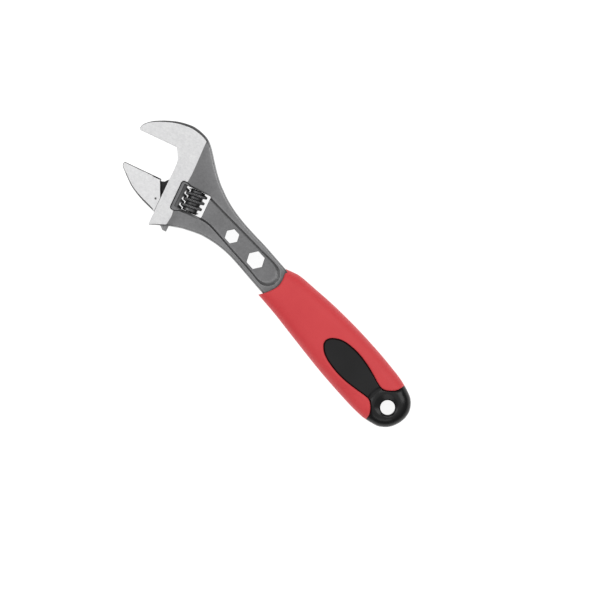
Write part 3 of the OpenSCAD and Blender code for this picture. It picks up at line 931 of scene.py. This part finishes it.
back = J([[30.4, 2.8, 0.25, 0.34, 0.4], [27.85, 5.15, 0.3, 0.4, 0.4], [25.4, 7.35, 0.32, 0.46, 0.4], [20.3, 11.5, 0.34, 0.54, 0.4], [15.25, 14.35, 0.36, 0.64, 0.4], [10.2, 16.65, 0.38, 0.76, 0.4],
          [5.15, 18.45, 0.4, 0.78, 0.4], [2, 19.5, 0.35, 0.5, 0.4]])
jaw_part = join(
    straight(J([[5.2, 0.3, 0, 0.25, 0], [5.45, -0.7, 0, 1.0, 0], [10.2, -0.7, 0, 1.0, 0]]), 0.5),
    straight(J([[10.2, -0.7, 0, 1.0, 0], [10.9, -0.7, 0, 0.6, 0.4], [30.1, -0.7, 0, 0.5, 0.4]]), 0.6),
    spline(J([[30.1, -0.7, 0, 0.5, 0.4], [30.7, -0.4, 0.05, 0.4, 0.4], [31.0, 0.6, 0.1, 0.34, 0.4], [30.9, 1.7, 0.18, 0.34, 0.4], [30.4, 2.8, 0.25, 0.34, 0.4]]), 0.25),
    spline(back, 0.5),
    straight(J([[2, 19.5, 0.35, 0.5, 0.4], [1.2, 19.75, 0.1, 0.2, 0.4], [0.45, 19.98, 0, 0.08, 0]]), 0.4),
    straight(J([[0.45, 19.98, 0, 0.08, 0], [0.45, 10.5, 0, 0.08, 0], [5.1, 0.8, 0, 0.1, 0], [5.2, 0.3, 0, 0.25, 0]]), 0.5),
)
jaw_part = ccw(jaw_part)
jaw_loop = jaw_part.copy()
jaw_loop[:, :2] += normals(jaw_part) * jaw_part[:, 2:3]
DIMPLE = H([[3.0, 35.3]])[0]


def jaw_z(p):
    d, e, _ = dist(p, jaw_loop)
    R = np.maximum(e[:, 1], 0.05)
    t = np.clip(R - d, 0, R)
    z = (HT - 0.02) - 0.85 * R * (t / R) ** 1.25
    r = np.linalg.norm(p - DIMPLE, axis=1)
    return z - 0.34 * np.clip(1 - (r / 0.95) ** 2, 0, 1) ** 1.2


def jaw_mat(c, wall):
    p = c[:, :2]
    d, e, _ = dist(p, jaw_loop)
    ids = np.zeros(len(c), int)
    ids[(~wall) & (d > e[:, 1] * 0.86)] = 1
    ids[(e[:, 2] > 0.3) & (wall | (d < e[:, 1] * 0.86))] = 2
    ids[(~wall) & (np.linalg.norm(p - DIMPLE, axis=1) < 0.68)] = 2
    u, v = to_head(p)
    ids[wall & (v < OPEN - 0.55) & (u > 5.6)] = 1
    return ids


aa = np.linspace(0, 2 * math.pi, 25)[:-1]
dim_pts = np.vstack([DIMPLE + r * np.stack([np.cos(aa), np.sin(aa)], 1) for r in (0.2, 0.4, 0.6, 0.75, 0.85, 0.95, 1.1, 1.3)] + [DIMPLE[None]])
jprof = [jaw_loop[:, 3] * f for f in (0.12, 0.45, 1.06)] + [jaw_loop[:, 3] + g for g in (0.18, 0.42)]
jpts = np.vstack([rings(jaw_loop, [0] * 5, 1.0, 0.05, per_point=jprof), dim_pts])
jpts = jpts[inside(jpts, jaw_loop)]
jaw = relief("moving_jaw", (jaw_loop, jaw_part), [], [(r, False) for r in offset_runs(jaw_loop, 0.86, 0.15)], jpts, jaw_z, [M_JAWDARK, M_JAWGROUND, M_RAIL], jaw_mat, grid=1.2, sharp=30)

# Rail: a round bar with the rack cut at the worm's lead angle, its end cut in line with the jaw's back
lead = math.atan(PITCH / (math.pi * (13.8 + 9.5) / 2))
JM = [M_JAWDARK, M_JAWGROUND, M_RAIL]
rail = lathe_v("rail", RAIL_U, [(18.0, 0.0), (18.0, RAIL_R - 0.5), (18.5, RAIL_R), (51.0, RAIL_R), (51.4, RAIL_R - 0.4), (51.4, 0)], JM, 96, mat=2)
for k in range(-1, 8):
    v0 = 17.6 + 2 + k * PITCH
    prof_g = [(-1.2, -1.72), (0.0, -1.55), (0.3, -1.42), (2.7, -1.0), (3.0, -0.7), (3.0, 1.0), (2.7, 1.3), (0.3, 1.76), (0.0, 1.9), (-1.2, 2.06)]
    vs = []
    for zz in (-8.0, 8.0):
        for a, b in prof_g:
            vs.append((-14.6 + a, v0 + b * math.cos(lead) - zz * math.sin(lead), zz * math.cos(lead) + b * math.sin(lead)))
    n = len(prof_g)
    fs = [tuple(range(n)), tuple(range(2 * n - 1, n - 1, -1))] + [(i, n + i, n + (i + 1) % n, (i + 1) % n) for i in range(n)]
    rail = boolean(rail, add_mesh("tooth_cut", head3(vs), fs, JM, [2] * len(fs)))
rail = boolean(rail, prism("end_cut", H([[RAIL_U + 0.1, 51.4], [0.8, 43.0], [8, 70], [RAIL_U + 0.1, 70]]), -12, 12, JM, 2))
rail = boolean(rail, prism("tail_cut", H([[-30, 47.3], [-11.5, 47.3], [-11.5, 70], [-30, 70]]), -12, 12, JM, 2))
web_plan = straight(H([[RAIL_U, 18.4, 0.0, 0.35], [-4.4, 18.4, 0, 0.35], [0.6, 20.7, 0, 0.35], [1, 21.1, 0, 0.35], [1.8, 22, 0, 0.35], [2.5, 23, 0, 0.35], [4, 23.6, 0, 0.35], [6, 23.9, 0, 0.35],
                       [9, 29.2, 0, 0.35], [9, 38.4, 0, 0.35], [0.8, 42.8, 0, 0.35], [RAIL_U, 51.3, 0, 0.35]]), 0.6, closed=True)
web_plan = ccw(web_plan)


def web_z(p):
    d, e, _ = dist(p, web_plan)
    t = np.clip(0.35 - d, 0, 0.35)
    z = 2.5 - (0.35 - np.sqrt(0.35**2 - t * t))
    # Fillet into the thick part of the jaw
    dj, _, _ = sdist(p, jaw_part)
    return z + 1.1 * np.clip(1 + dj / 1.3, 0, 1) ** 2.2


web = relief("web", (web_plan, web_plan), [], [], rings(web_plan, [0.05, 0.15, 0.35]), web_z, JM, lambda c, w: np.zeros(len(c), int), grid=0.9)
jaw = boolean(jaw, web, "UNION")
jaw = boolean(jaw, rail, "UNION")
finish_shading(jaw, 30)


def jaw_wear(p):
    u, v = to_head(p[:, :2])
    return 0.8 * ((u < -4.6) & (v > 47.4)) + 0.35 * (u < -13.5) + 0.0 * v


def jaw_shade(p):
    """Painted shade at the rack's root, deep in the worm's window."""
    u, v = to_head(p[:, :2])
    return 0.45 * (u > -13.0) * (u < -9.0) * (v < 47)


set_point(jaw, "wear_and_painted_light", jaw_wear)
set_point(jaw, "shade", jaw_shade)
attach(jaw, "moving_jaw")
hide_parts("sliding_jaw")


# ---------------------------------------------------------------- worm
def make_worm():
    """Right-hand trapezoid thread as one skin that joins itself one pitch on, with a straight knurl on its crests."""
    R1, R0 = 6.9, 4.75
    cols = 38 * 5
    w = [(-1.32, R0), (-1.2, R0 + 0.08), (-1.08, R0 + 0.3), (-0.76, R1 - 0.2), (-0.66, R1 - 0.06), (-0.55, R1), (0.0, R1), (0.55, R1), (0.66, R1 - 0.06), (0.76, R1 - 0.2), (1.08, R0 + 0.3), (1.2, R0 + 0.08), (1.32, R0), (2.0, R0 - 0.02)]
    K = len(w)
    turns = 7
    v_start = 22.45 - 3 * PITCH
    verts, faces = [], []
    rows = K * turns
    for i in range(cols):
        a = 2 * math.pi * i / cols
        notch = i % 5
        for t in range(turns):
            for k, (dv, r) in enumerate(w):
                rr = r
                if r > R1 - 0.25:
                    rr = r - (0.0, 0.0, 0.1, 0.3, 0.1)[notch] * (1.0 if r > R1 - 0.1 else 0.6)
                vv = v_start + t * PITCH + dv + PITCH * i / cols
                verts.append((WORM_U + rr * math.sin(a), vv, rr * math.cos(a)))
    for i in range(cols):
        j = (i + 1) % cols
        for r in range(rows - 1):
            if j:
                faces.append((i * rows + r, j * rows + r, j * rows + r + 1, i * rows + r + 1))
            else:
                if r + 1 + K < rows:
                    faces.append((i * rows + r, r + K, r + 1 + K, i * rows + r + 1))
    # Close both ends with a fan to the axis; they are cut away afterwards
    bm = bmesh.new()
    bv = [bm.verts.new(Vector((head3([p])[0] + ORIGIN) * 0.001)) for p in verts]
    for f in faces:
        bm.faces.new([bv[q] for q in f])
    bmesh.ops.holes_fill(bm, edges=[e for e in bm.edges if len(e.link_faces) == 1], sides=0)
    bmesh.ops.triangulate(bm, faces=[f for f in bm.faces if len(f.verts) > 4])
    bmesh.ops.delete(bm, geom=[v for v in bm.verts if not v.link_faces], context="VERTS")
    bmesh.ops.recalc_face_normals(bm, faces=bm.faces)
    me = bpy.data.meshes.new("worm")
    bm.to_mesh(me)
    bm.free()
    me.materials.append(M_WORM)
    ob = bpy.data.objects.new("thumb_worm", me)
    bpy.context.scene.collection.objects.link(ob)
    v0, v1 = 19.4, 34.0
    ob = boolean(ob, lathe_v("trim", WORM_U, [(v0, 0), (v0, 4.5), (v0 + 0.3, 4.9), (v0 + 1.6, 7.6), (v1 - 2.8, 7.6), (v1 - 0.3, 4.85), (v1, 4.5), (v1, 0)], [M_WORM], 96), "INTERSECT")
    ob = boolean(ob, lathe_v("bore", WORM_U, [(10, 0), (10, 3.3), (25.4, 3.3), (25.4, 2.06), (50, 2.06), (50, 0)], [M_WORM], 48))
    finish_shading(ob, 28)
    return ob


worm = make_worm()


def worm_wear_and_painted_light(p):
    u, v = to_head(p[:, :2])
    r = np.hypot(u - WORM_U, p[:, 2])
    dv = (v - 22.45 - PITCH * np.arctan2(u - WORM_U, p[:, 2]) / (2 * math.pi) + 1.4) % PITCH - 1.4
    # Painted light: the +v flanks and the valleys are painted paler than the -v flanks, as if lit from one side.
    inner = np.where(dv < -0.6, 0.0, 0.26) * smooth01((v - 19.9) / 0.3)
    # Painted highlight on the last turn at the far end.
    inner = np.maximum(inner, 0.72 * smooth01((v - 32.3) / 0.5))
    # Crests of the knurl rub paler.
    return np.maximum(0.75 * smooth01((r - 6.62) / 0.25), inner)


set_point(worm, "wear_and_painted_light", worm_wear_and_painted_light)
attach(worm, "thumb_worm")
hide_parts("worm")

# Pin with a slotted head
pin = lathe_v("worm_pin_turned", WORM_U, [(12.0, 0), (12.0, 1.6), (12.4, 2.0), (41.7, 2.0), (41.7, 2.9), (41.9, 3.1), (43.7, 3.1), (44.0, 2.8), (44.0, 0)], [M_PIN], 64)
pin = boolean(pin, prism("pin_slot", H([[WORM_U - 5, 43.0], [WORM_U + 5, 43.0], [WORM_U + 5, 46], [WORM_U - 5, 46]]), -0.5, 0.5, [M_PIN]))
finish_shading(pin, 30)
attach(pin, "frame")
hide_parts("worm_pin")

# Spring
turns, wire, cr_ = 4.5, 0.3, 2.72
n = 170
length = 25.4 - 19.2 - 2 * wire - 0.16
sv, sf = [], []
for i in range(n + 1):
    f = i / n
    s = 0.14 * f / 0.2 if f < 0.2 else (1 - 0.14 * (1 - f) / 0.2 if f > 0.8 else 0.14 + 0.72 * (f - 0.2) / 0.6)
    a = 2 * math.pi * turns * f
    for k in range(12):
        b = 2 * math.pi * k / 12
        rr = cr_ + wire * math.cos(b)
        sv.append((WORM_U + rr * math.cos(a), 19.2 + wire + 0.08 + length * s + wire * math.sin(b), -rr * math.sin(a)))
for i in range(n):
    for k in range(12):
        sf.append((i * 12 + k, i * 12 + (k + 1) % 12, (i + 1) * 12 + (k + 1) % 12, (i + 1) * 12 + k))
sf += [tuple(range(12))[::-1], tuple(n * 12 + k for k in range(12))]
spring = add_mesh("worm_spring_coil", head3(sv), sf, [M_SPRING])
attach(spring, "frame")
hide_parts("worm_spring")


# ---------------------------------------------------------------- grip
side_low = [[108, -11.4], [104, -13.2], [98, -15.2], [85, -16.8], [70, -18.4], [50, -19.45], [30, -19.5], [15, -18.8], [8, -18.2], [3, -17.3]]
end_arc = [[3, -17.3], [0, -16.6], [-4, -15.3], [-6.5, -13.9], [-9, -11.7], [-11.2, -8.5], [-12.3, -4.9], [-12.5, -1.8], [-12.1, 1.6], [-10.9, 5.4], [-9, 8.6], [-6.5, 11.1], [-4, 12.8], [0, 14.2], [3.6, 15.2]]
side_top = [[3.6, 15.2], [8, 16.0], [20, 16.6], [45, 16.2], [70, 14.6], [90, 13.1], [100, 12.7], [107.9, 12.5]]
side = spline(np.array(side_low + end_arc[1:] + side_top[1:]), 0.7)
T_X = [-13, 3, 15, 35, 55, 80, 98, 108]
T_Z = [7.2, 7.4, 8.4, 9.48, 9.48, 9.0, 8.2, 7.5]
tx = spline(np.column_stack([T_X, T_Z]), 2.0)


def grip_surface(p, inset=0.0):
    """Half thickness of the grip over the plan, drawn in all round by inset."""
    d, _, _ = dist(p, side, closed=False)
    d = np.where(inside(p, np.vstack([side, [[108, 12.5], [108, -11.4]]])), d, 0.0) - inset
    T = np.interp(p[:, 0], tx[:, 0], tx[:, 1]) - inset
    s = np.clip(d / 11.0, 0, 1)
    return T * (1 - (1 - s) ** 2.5) ** 0.5 * 0.985 + T * 0.015 * smooth01(d / 17.0)


black_low = spline(np.array([[3, -17.3], [4, -12.4], [6, -9.3], [9, -6.6], [12, -5.6], [16, -6], [22, -7.5], [30, -9], [38, -9.6], [45, -9], [50, -7.8], [54, -5.6], [57, -2.6], [58, 0.3]]), 0.6)
black_top = spline(np.array([[58, 0.3], [57, 3], [54, 5.6], [50, 7.4], [45, 8.4], [38, 8.9], [30, 8.4], [22, 7], [16, 5.7], [12, 5.4], [9, 6.8], [6, 9.6], [4.4, 12.2], [3.6, 15.2]]), 0.6)
edge_bl = join(black_low, black_top)  # open curve from the lower side to the upper side


def nearest_index(L, q):
    return int(np.argmin(np.linalg.norm(L[:, :2] - np.array(q), axis=1)))


i_low = nearest_index(side, [3, -17.3])
i_top = nearest_index(side, [3.6, 15.2])
side_lowp, endp, side_topp = side[: i_low + 1], side[i_low : i_top + 1], side[i_top:]

# Soft red cover
cover_loop = ccw(join(side_lowp, black_low, black_top, side_topp, front))
black_curve = np.vstack([black_low, black_top[1:]])


def lip(d, r, depth):
    """How far an edge with radius r falls below the face at distance d from it."""
    t = np.clip(r - d, 0, r)
    return depth * (1 - np.sqrt(np.maximum(1 - (t / r) ** 2, 0)))


def cover_z(p):
    z = grip_surface(p)
    db, _, _ = dist(p, black_curve, closed=False)
    df, _, _ = dist(p, front, closed=False)
    swell = 0.22 * np.exp(-(((db - 1.3) / 1.1) ** 2))
    k = np.clip(z / 3.0, 0, 1)
    z = z + (swell - lip(db, 0.8, 0.75) - lip(df, 1.3, 1.2)) * k
    return np.minimum(z, 9.5)


crings = [0.02, 0.1, 0.3, 0.7, 1.2, 1.9, 2.8, 4.0, 5.5]
cp = [rings(np.vstack([side, [[108, 12.5]]]), crings, -1.0 if area(np.vstack([side, [[108, 12.5], [108, -11.4]]])) < 0 else 1.0, 0.08)]


def open_rings(L, offs, side_sign):
    d = np.gradient(L[:, :2], axis=0)
    d /= np.maximum(np.linalg.norm(d, axis=1, keepdims=True), 1e-9)
    nn = np.stack([-d[:, 1], d[:, 0]], 1) * side_sign
    out = []
    for o in offs:
        q = L[:, :2] + nn * o
        real, _, _ = dist(q, L, closed=False)
        out.append(q[np.abs(real - o) < 0.06 * o + 0.01])
    return np.vstack(out)


side_rings = open_rings(side, crings, 1.0)
side_rings = side_rings if inside(side_rings[::7], np.vstack([side, [[108, 12.5], [108, -11.4]]])).mean() > 0.5 else open_rings(side, crings, -1.0)
br = [0.08, 0.2, 0.4, 0.6, 0.8, 1.1, 1.5, 2.0, 2.6]
bl_a, bl_b = open_rings(black_curve, br, 1.0), open_rings(black_curve, br, -1.0)
fr_a, fr_b = open_rings(front, [0.1, 0.3, 0.6, 0.95, 1.3, 1.7], 1.0), open_rings(front, [0.1, 0.3, 0.6, 0.95, 1.3, 1.7], -1.0)


def within(pts, loop, margin=0.015):
    ok = inside(pts, loop)
    d, _, _ = dist(pts, loop)
    return pts[ok & (d > margin)]


cpts = np.vstack([within(q, cover_loop) for q in (side_rings, bl_a, bl_b, fr_a, fr_b)])
cover = relief("red_cover", (cover_loop, cover_loop), [], [], cpts, cover_z, [M_RED], lambda c, w: np.zeros(len(c), int), grid=1.3, sharp=50)

# Hard black core: its visible end and teardrop stand up to the cover, the rest lies under it
core_loop_open = endp
core_in = []
d_in = 2.6
sd = np.gradient(side[:, :2], axis=0)
sd /= np.linalg.norm(sd, axis=1, keepdims=True)
sn = np.stack([-sd[:, 1], sd[:, 0]], 1)
test = side[len(side) // 2, :2] + sn[len(side) // 2]
if not inside(test[None], np.vstack([side, [[108, 12.5], [108, -11.4]]]))[0]:
    sn = -sn
low_in = (side[:, :2] + sn * d_in)[: i_low + 1]
low_in = low_in[(low_in[:, 0] > 5.2) & (low_in[:, 0] < 100.5)]
top_in = (side[:, :2] + sn * d_in)[i_top:]
top_in = top_in[(top_in[:, 0] > 5.6) & (top_in[:, 0] < 100.5)]
core_loop = ccw(join(low_in, straight(np.vstack([low_in[-1], [5.0, low_in[-1][1]], endp[0, :2]]), 0.5), endp[:, :2],
                     straight(np.vstack([endp[-1, :2], [5.4, top_in[0][1]], top_in[0]]), 0.5), top_in,
                     straight(np.vstack([top_in[-1], [100.5, top_in[-1][1]], [100.5, low_in[0][1]], low_in[0]]), 1.0)))
black_poly = ccw(join(endp, black_top[::-1], black_low[::-1])) if False else ccw(join(endp, np.vstack([black_low, black_top[1:]])[::-1]))
HOLE_R = 4.7
hole = np.array([[HOLE_R * math.cos(a), HOLE_R * math.sin(a)] for a in np.linspace(0, 2 * math.pi, 73)[:-1]])


def core_z(p):
    g = grip_surface(p)
    db, _, _ = sdist(p, black_poly)
    db_curve, _, _ = dist(p, black_curve, closed=False)
    r = np.linalg.norm(p, axis=1)
    z = g - 0.42
    # Ring around the hanging hole, with a valley between it and the teardrop
    ring_top = 7.25 - 0.055 * (r - 9.6) ** 2
    w = smooth01((14.5 - r) / 4.0)
    z = z * (1 - w) + np.minimum(z, ring_top) * w
    z = z - 0.95 * np.exp(-(((r - 13.2) / 2.0) ** 2)) * smooth01((p[:, 0] - 1.0) / 6.0)
    # Mouth of the hole
    q = np.clip(9.9 - r, 0, None)
    fall = np.where(q < 1.2, 0.18 * q * q, 0.259 + 0.44 * (q - 1.2))
    lipm = np.clip((HOLE_R + 0.7 - r) / 0.7, 0, 1)
    z = np.minimum(z, 7.3 - fall) - 0.6 * lipm**2.2
    # Groove next to the cover
    z = z - 0.5 * np.exp(-((db_curve / 0.55) ** 2)) * np.clip(g / 3, 0, 1)
    deep = grip_surface(p, 2.6)
    step = smooth01((db - 0.02) / 0.12)
    return np.maximum(np.where(db > 0, deep + (z - deep) * step, deep), 0.0)


ang = np.linspace(0, 2 * math.pi, 73)[:-1]
hole_rings = np.vstack([r * np.stack([np.cos(ang), np.sin(ang)], 1) for r in (4.76, 4.86, 5.0, 5.2, 5.4, 5.8, 6.4, 7.2, 8.0, 8.7, 9.2, 9.6, 10.0, 10.6, 11.4)])
cin = [0.02, 0.07, 0.14] + br
bl2 = np.vstack([open_rings(black_curve, cin, 1.0), open_rings(black_curve, cin, -1.0)])
kpts = np.vstack([within(q, core_loop) for q in (side_rings, bl2, hole_rings)])
kpts = kpts[np.linalg.norm(kpts, axis=1) > HOLE_R + 0.02]
bfeat = black_curve[(black_curve[:, 0] > 5.6)]
core = relief("black_core", (core_loop, core_loop), [(hole, hole)], [(bfeat, False)], kpts, core_z, [M_BLACK], lambda c, w: np.zeros(len(c), int), grid=1.1, sharp=50)
for o, nname, sl in ((cover, "grip_cover", "red_rubber"), (core, "grip_core", "black_plastic")):
    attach(o, "frame")
    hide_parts(nname)


# ---------------------------------------------------------------- stage
def floor_mat():
    m, nt, b, tc = new_mat("floor_pale")
    b.inputs["Base Color"].default_value = (0.35, 0.35, 0.35, 1)
    b.inputs["Roughness"].default_value = 0.9
    b.inputs["Specular IOR Level"].default_value = 0.1
    b.inputs["Emission Color"].default_value = (1, 1, 1, 1)
    b.inputs["Emission Strength"].default_value = 0.88
    return m


fm = bpy.data.meshes.new("floor")
S = 4.0
fm.from_pydata([(-S, -S, 0), (S, -S, 0), (S, S, 0), (-S, S, 0)], [], [(0, 1, 2, 3)])
fm.materials.append(floor_mat())
floor = bpy.data.objects.new("floor", fm)
floor.location.z = -0.0002
bpy.context.scene.collection.objects.link(floor)

world = bpy.data.worlds.new("studio")
bpy.context.scene.world = world
world.use_nodes = True
wt = world.node_tree
bg = wt.nodes["Background"]
tcw = wt.nodes.new("ShaderNodeTexCoord")
sepw = wt.nodes.new("ShaderNodeSeparateXYZ")
wt.links.new(tcw.outputs["Generated"], sepw.inputs[0])
ramp = wt.nodes.new("ShaderNodeMapRange")
ramp.interpolation_type = "SMOOTHSTEP"
ramp.inputs["From Min"].default_value = 0.45
ramp.inputs["From Max"].default_value = 1.0
ramp.inputs["To Min"].default_value = 0.22
ramp.inputs["To Max"].default_value = 0.92
wt.links.new(sepw.outputs["Z"], ramp.inputs["Value"])
wt.links.new(ramp.outputs[0], bg.inputs["Strength"])
bg.inputs["Color"].default_value = (1, 1, 1, 1)


def softbox(name, loc, size, power, target=(0.0, 0.0, 0.01)):
    ld = bpy.data.lights.new(name, "AREA")
    ld.shape = "RECTANGLE"
    ld.size, ld.size_y = size
    ld.energy = power
    lo = bpy.data.objects.new(name, ld)
    lo.location = loc
    d = Vector(target) - Vector(loc)
    lo.rotation_euler = d.to_track_quat("-Z", "Y").to_euler()
    bpy.context.scene.collection.objects.link(lo)
    return lo


# Camera straight above the flat side, turned so that the handle runs down to the right
right = Vector((-math.cos(math.radians(47.7)), -math.sin(math.radians(47.7)), 0))
up = Vector((math.sin(math.radians(47.7)), -math.cos(math.radians(47.7)), 0))
centre = (np.array([87.6, -4.8, 0.0]) + ORIGIN) * 0.001
K = 0.632e-3 * 600
cam_d = bpy.data.cameras.new("camera")
cam = bpy.data.objects.new("camera", cam_d)
bpy.context.scene.collection.objects.link(cam)
DISTANCE = 2.4
cam_d.sensor_width = 36.0
cam_d.lens = 18.0 / (K / 2 / DISTANCE)
cam.location = (centre[0], centre[1], ORIGIN[2] * 0.001 + 0.005 + DISTANCE)
from mathutils import Matrix

rot = Matrix((right, up, right.cross(up))).transposed()
cam.rotation_mode = "QUATERNION"
cam.rotation_quaternion = rot.to_quaternion()
cam_d.clip_start, cam_d.clip_end = 0.1, 20.0
bpy.context.scene.camera = cam

cr3 = right * 1.0
softbox("key_left", tuple(-right * 0.95 + up * 0.3 + Vector((0, 0, 1.0))), (0.8, 0.8), 3.6)
softbox("fill_right", tuple(right * 0.95 + up * 0.25 + Vector((0, 0, 0.95))), (0.62, 0.62), 3.0)
softbox("top", tuple(up * 0.85 + Vector((0, 0, 1.15))), (1.0, 0.35), 2.2)
softbox("front", tuple(-up * 1.0 + Vector((0, 0, 0.8))), (0.9, 0.3), 1.0)

bpy.context.scene.view_settings.view_transform = "Standard"
bpy.context.scene.view_settings.look = "None"
